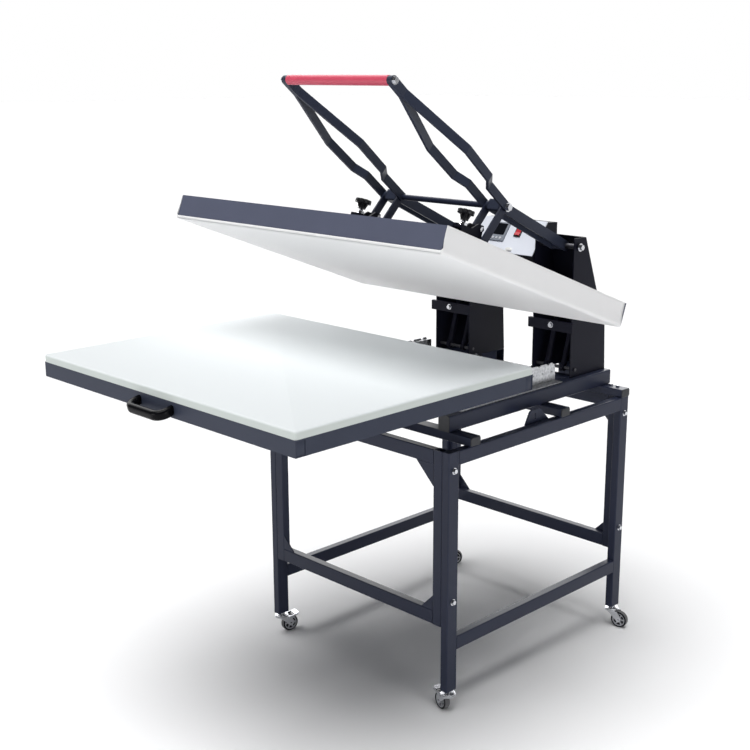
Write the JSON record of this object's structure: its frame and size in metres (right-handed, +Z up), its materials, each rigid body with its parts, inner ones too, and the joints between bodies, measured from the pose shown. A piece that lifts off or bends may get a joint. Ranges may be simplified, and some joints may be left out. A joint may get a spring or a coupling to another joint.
{
  "type": "flat heat press",
  "caption": "Large flat heat press with a hinged upper platen, a hand lever, a pull-out lower platen, a control box and a wheeled stand.",
  "frame": {"origin": "centre of the overall box on the floor, with the press open and the lower platen pulled out", "axes": "+X to the user's right, +Y from the user to the towers at the rear, +Z up"},
  "size_m": [1.02, 1.5266, 1.7065],
  "materials": {
    "frame_paint": "satin powder coat",
    "tower_paint": "satin powder coat",
    "cover_paint": "satin powder coat",
    "black_plastic": "matte",
    "zinc": "galvanised",
    "bright_chrome": "polished",
    "stop_rubber": "matte",
    "panel_white": "satin",
    "bezel_grey": "matte",
    "screen_glass": "glossy",
    "key_plastic": "matte",
    "lamp_white": "glossy",
    "rocker_red": "glossy",
    "pad_white": "matte",
    "handle_black": "glossy",
    "knob_black": "matte",
    "board": "matte",
    "element_steel": "satin",
    "plate_aluminium": "satin",
    "cloth_white": "matte",
    "grip_red": "satin",
    "strut_black": "gloss",
    "fork_steel": "polished",
    "wheel_rubber": "matte"
  },
  "bodies": {
    "stand": {"stand_legs": "frame_paint", "side_rails": "frame_paint", "cross_frames": "frame_paint", "corner_gussets": "frame_paint", "base_frame": "frame_paint", "tube_caps": "black_plastic", "frame_bolts": "bright_chrome", "slide_mounts": "zinc", "slide_fixed": "zinc", "slide_stops": "stop_rubber", "towers": "tower_paint", "tower_pins": "zinc", "control_box": "tower_paint", "control_panel": "panel_white", "display_bezel": "bezel_grey", "display_screen": "screen_glass", "rocker_frame": "black_plastic", "indicator_lamp": "lamp_white", "power_inlet": "black_plastic", "caster_stems": "bright_chrome"},
    "slide_middle": {"slide_middle": "zinc"},
    "lower_platen": {"lower_frame": "frame_paint", "lower_pad": "pad_white", "pull_handle": "handle_black", "slide_hangers": "zinc", "slide_inner": "zinc"},
    "upper_platen": {"upper_cover": "cover_paint", "insulation_board": "board", "heating_element": "element_steel", "heating_plate": "plate_aluminium", "press_cloth": "cloth_white", "hinge_arms": "tower_paint", "pressure_brackets": "tower_paint", "platen_fasteners": "bright_chrome"},
    "lever": {"lever_bars": "frame_paint", "rear_arms": "frame_paint", "knee_tube": "frame_paint", "grip_core": "bright_chrome", "grip_sleeve": "grip_red", "lever_bolts": "bright_chrome"},
    "links": {"links": "frame_paint"},
    "gas_cylinders": {"gas_cylinders": "strut_black"},
    "gas_rods": {"gas_rods": "bright_chrome"},
    "knob_left": {"knob_left": "knob_black"},
    "knob_right": {"knob_right": "knob_black"},
    "rocker": {"rocker": "rocker_red"},
    "key_first": {"key_first": "key_plastic"},
    "key_second": {"key_second": "key_plastic"},
    "key_third": {"key_third": "key_plastic"},
    "key_fourth": {"key_fourth": "key_plastic"},
    "fork_front_right": {"fork_front_right": "fork_steel"},
    "wheel_front_right": {"wheel_front_right": "wheel_rubber"},
    "fork_front_left": {"fork_front_left": "fork_steel"},
    "wheel_front_left": {"wheel_front_left": "wheel_rubber"},
    "fork_rear_right": {"fork_rear_right": "fork_steel"},
    "wheel_rear_right": {"wheel_rear_right": "wheel_rubber"},
    "fork_rear_left": {"fork_rear_left": "fork_steel"},
    "wheel_rear_left": {"wheel_rear_left": "wheel_rubber"},
    "pedal_front_right": {"pedal_front_right": "fork_steel"},
    "pedal_front_left": {"pedal_front_left": "fork_steel"}
  },
  "joints": [
    {"name": "platen_slide", "type": "slide", "parent": "stand", "child": "lower_platen", "axis": [0, 1, 0], "range_m": [0, 0.4]},
    {"name": "middle_slide", "type": "slide", "parent": "stand", "child": "slide_middle", "axis": [0, 1, 0], "range_m": [0, 0.2]},
    {"name": "press_hinge", "type": "hinge", "parent": "stand", "child": "upper_platen", "pos_m": [0, 0.5882, 1.05], "axis": [1, 0, 0], "range_deg": [0, 20.9], "stiffness_Nm_per_rad": 450, "springref_deg": -57.3},
    {"name": "lever_hinge", "type": "hinge", "parent": "stand", "child": "lever", "pos_m": [0, 0.5902, 1.213], "axis": [1, 0, 0], "range_deg": [0, 29.8]},
    {"name": "link_hinge", "type": "hinge", "parent": "lever", "child": "links", "pos_m": [0, 0.2962, 1.351], "axis": [1, 0, 0], "range_deg": [-33.2, 0]},
    {"name": "cylinder_hinge", "type": "hinge", "parent": "stand", "child": "gas_cylinders", "pos_m": [0, 0.5882, 0.846], "axis": [1, 0, 0], "range_deg": [0, 3.4]},
    {"name": "rod_slide", "type": "slide", "parent": "gas_cylinders", "child": "gas_rods", "axis": [0, 0.3028, 0.953], "range_m": [0, 0.0214]},
    {"name": "knob_left_turn", "type": "hinge", "parent": "upper_platen", "child": "knob_left", "pos_m": [-0.199, 0.1535, 1.30163], "axis": [0, 0.3567, 0.9342], "range_deg": [-180, 180]},
    {"name": "knob_right_turn", "type": "hinge", "parent": "upper_platen", "child": "knob_right", "pos_m": [0.199, 0.1535, 1.30163], "axis": [0, 0.3567, 0.9342], "range_deg": [-180, 180]},
    {"name": "rocker_tilt", "type": "hinge", "parent": "stand", "child": "rocker", "pos_m": [0.037, 0.6012, 1.233], "axis": [1, 0, 0], "range_deg": [0, 20]},
    {"name": "key_first_press", "type": "slide", "parent": "stand", "child": "key_first", "axis": [0, 0.8, -0.6], "range_m": [0, 0.001], "stiffness_N_per_m": 400, "springref_m": -0.001},
    {"name": "key_second_press", "type": "slide", "parent": "stand", "child": "key_second", "axis": [0, 0.8, -0.6], "range_m": [0, 0.001], "stiffness_N_per_m": 400, "springref_m": -0.001},
    {"name": "key_third_press", "type": "slide", "parent": "stand", "child": "key_third", "axis": [0, 0.8, -0.6], "range_m": [0, 0.001], "stiffness_N_per_m": 400, "springref_m": -0.001},
    {"name": "key_fourth_press", "type": "slide", "parent": "stand", "child": "key_fourth", "axis": [0, 0.8, -0.6], "range_m": [0, 0.001], "stiffness_N_per_m": 400, "springref_m": -0.001},
    {"name": "swivel_front_right", "type": "hinge", "parent": "stand", "child": "fork_front_right", "pos_m": [0.3515, -0.0518, 0.057], "axis": [0, 0, 1], "continuous": true},
    {"name": "spin_front_right", "type": "hinge", "parent": "fork_front_right", "child": "wheel_front_right", "pos_m": [0.32445, -0.04455, 0.026], "axis": [-0.2588, -0.9659, 0], "continuous": true},
    {"name": "pedal_front_right_press", "type": "hinge", "parent": "fork_front_right", "child": "pedal_front_right", "pos_m": [0.33122, -0.04636, 0.05], "axis": [-0.2588, -0.9659, 0], "range_deg": [0, 8]},
    {"name": "swivel_front_left", "type": "hinge", "parent": "stand", "child": "fork_front_left", "pos_m": [-0.3515, -0.0518, 0.057], "axis": [0, 0, 1], "continuous": true},
    {"name": "spin_front_left", "type": "hinge", "parent": "fork_front_left", "child": "wheel_front_left", "pos_m": [-0.34616, -0.02431, 0.026], "axis": [-0.9816, 0.1908, 0], "continuous": true},
    {"name": "pedal_front_left_press", "type": "hinge", "parent": "fork_front_left", "child": "pedal_front_left", "pos_m": [-0.34749, -0.03119, 0.05], "axis": [-0.9816, 0.1908, 0], "range_deg": [0, 8]},
    {"name": "swivel_rear_right", "type": "hinge", "parent": "stand", "child": "fork_rear_right", "pos_m": [0.3515, 0.7232, 0.057], "axis": [0, 0, 1], "continuous": true},
    {"name": "spin_rear_right", "type": "hinge", "parent": "fork_rear_right", "child": "wheel_rear_right", "pos_m": [0.37907, 0.72806, 0.026], "axis": [-0.1736, 0.9848, 0], "continuous": true},
    {"name": "swivel_rear_left", "type": "hinge", "parent": "stand", "child": "fork_rear_left", "pos_m": [-0.3515, 0.7232, 0.057], "axis": [0, 0, 1], "continuous": true},
    {"name": "spin_rear_left", "type": "hinge", "parent": "fork_rear_left", "child": "wheel_rear_left", "pos_m": [-0.32944, 0.74044, 0.026], "axis": [-0.6157, 0.788, 0], "continuous": true}
  ],
  "couplings": [
    {"joint": "middle_slide", "follows": "platen_slide", "ratio": 0.5},
    {"joint": "lever_hinge", "follows": "press_hinge", "ratio": 1.4222},
    {"joint": "link_hinge", "follows": "press_hinge", "ratio": -1.5838},
    {"joint": "cylinder_hinge", "follows": "press_hinge", "ratio": 0.161},
    {"joint": "rod_slide", "follows": "press_hinge", "m_per_rad": 0.057242}
  ]
}
